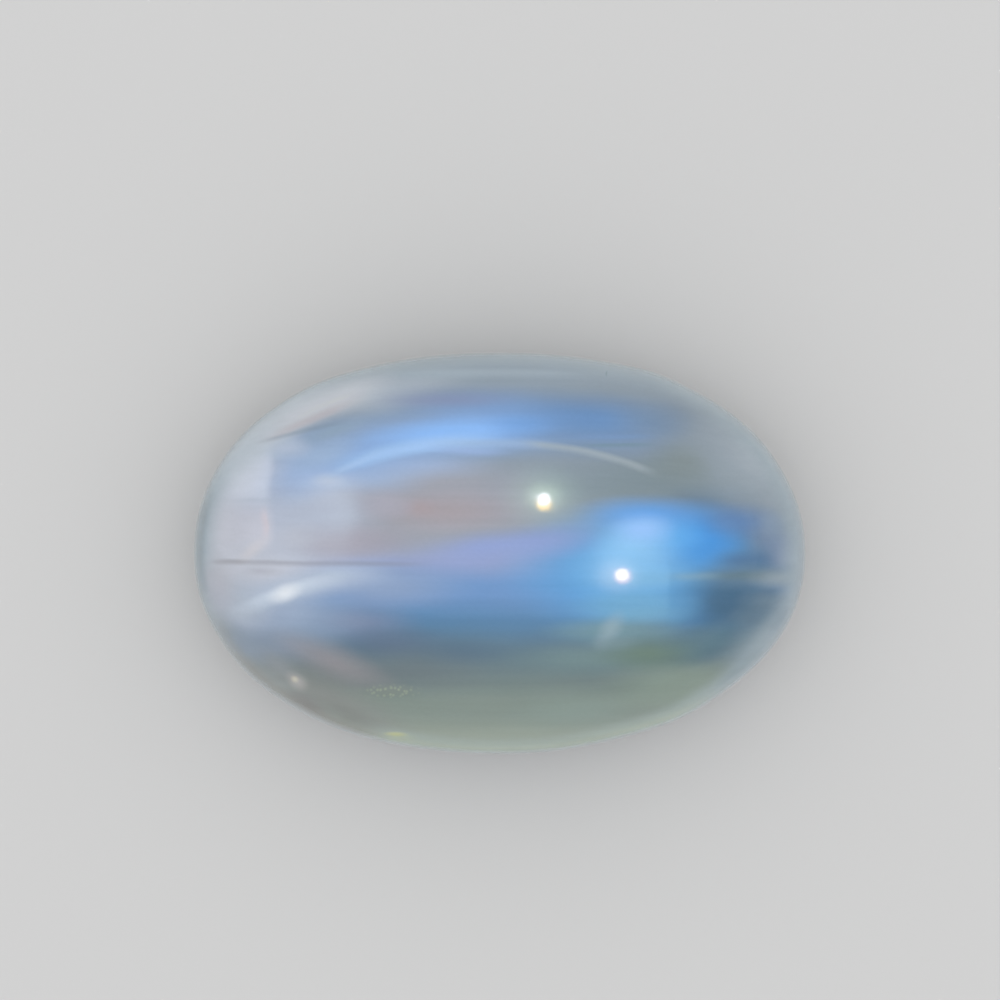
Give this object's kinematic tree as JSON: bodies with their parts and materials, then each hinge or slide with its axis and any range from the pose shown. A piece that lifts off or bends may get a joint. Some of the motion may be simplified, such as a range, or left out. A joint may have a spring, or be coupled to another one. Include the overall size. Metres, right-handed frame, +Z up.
{
  "type": "oval moonstone cabochon",
  "caption": "Polished oval moonstone cabochon with a high dome and a rounded underside that ends in a small flat spot to rest on.",
  "frame": {"origin": "middle of the flat spot that the stone rests on", "axes": "+X along the stone's long axis, +Y across it, +Z up through the crown of the dome"},
  "size_m": [0.0122, 0.008, 0.0056],
  "materials": {
    "moonstone": "polished"
  },
  "bodies": {
    "root": {"stone": "moonstone"}
  },
  "joints": []
}
